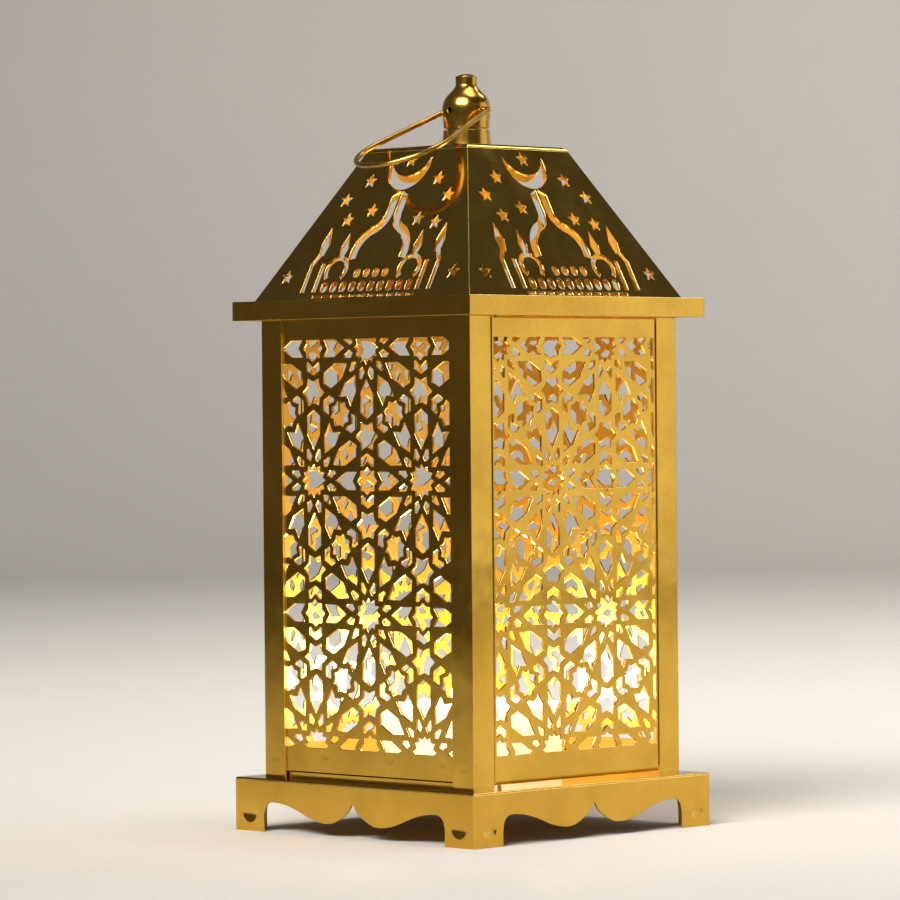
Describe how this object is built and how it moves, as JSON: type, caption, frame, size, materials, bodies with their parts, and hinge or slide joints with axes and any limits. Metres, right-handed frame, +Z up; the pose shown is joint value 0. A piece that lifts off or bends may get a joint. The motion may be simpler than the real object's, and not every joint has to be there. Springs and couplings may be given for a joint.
{
  "type": "ramadan fanous lantern",
  "caption": "Square gold sheet-metal lantern with star fretwork sides, a hinged fretted door, a cut-out hipped roof, a wire carrying loop and a tea light inside.",
  "frame": {"origin": "under the middle of the plinth, on the surface that its feet stand on", "axes": "+Z up, the door faces -Y, the door's hinge is at its -X edge, and the carrying loop lies to -X"},
  "size_m": [0.07, 0.07, 0.1575],
  "materials": {
    "gold_sheet": "polished gold-coloured sheet",
    "gold_turned": "polished, turned",
    "gold_wire": "polished wire",
    "bright_steel": "plain zinc",
    "white_plastic": "matte",
    "black_plastic": "matte",
    "flame_lens": "frosted, glowing",
    "lamp_lens": "clear amber",
    "battery_steel": "satin"
  },
  "bodies": {
    "lantern": {"plinth_top": "gold_sheet", "apron_front": "gold_sheet", "apron_right": "gold_sheet", "apron_back": "gold_sheet", "apron_left": "gold_sheet", "corner_post_front_left": "gold_sheet", "corner_post_front_right": "gold_sheet", "corner_post_back_right": "gold_sheet", "corner_post_back_left": "gold_sheet", "fret_panel_right": "gold_sheet", "fret_panel_back": "gold_sheet", "fret_panel_left": "gold_sheet", "sill_strip_right": "gold_sheet", "sill_strip_back": "gold_sheet", "sill_strip_left": "gold_sheet", "hinge_pin_lower": "bright_steel", "hinge_pin_upper": "bright_steel", "door_stop": "gold_sheet", "eave_strip_front": "gold_sheet", "eave_strip_right": "gold_sheet", "eave_strip_back": "gold_sheet", "eave_strip_left": "gold_sheet", "roof_panel_front": "gold_sheet", "roof_panel_right": "gold_sheet", "roof_panel_back": "gold_sheet", "roof_panel_left": "gold_sheet", "roof_cap": "gold_sheet", "finial": "gold_turned", "finial_washer": "bright_steel", "finial_nut": "bright_steel"},
    "door": {"door_panel": "gold_sheet", "door_knuckle_lower": "gold_sheet", "door_knuckle_upper": "gold_sheet"},
    "bail": {"bail": "gold_wire"},
    "tealight": {"tealight_shell": "white_plastic", "tealight_flame": "flame_lens", "tealight_led": "lamp_lens", "tealight_battery": "battery_steel", "tealight_cover": "white_plastic"},
    "switch": {"tealight_switch": "black_plastic"}
  },
  "joints": [
    {"name": "door_hinge", "type": "hinge", "parent": "lantern", "child": "door", "pos_m": [-0.02185, -0.02925, 0], "axis": [0, 0, -1], "range_deg": [0, 110]},
    {"name": "bail_swing", "type": "hinge", "parent": "lantern", "child": "bail", "pos_m": [0, 0, 0.1498], "axis": [0, 1, 0], "range_deg": [0, 228]},
    {"name": "tealight_lift", "type": "slide", "parent": "lantern", "child": "tealight", "axis": [0, 0, 1], "range_m": [0, 0.04]},
    {"name": "switch_slide", "type": "slide", "parent": "tealight", "child": "switch", "axis": [1, 0, 0], "range_m": [0, 0.002]}
  ]
}
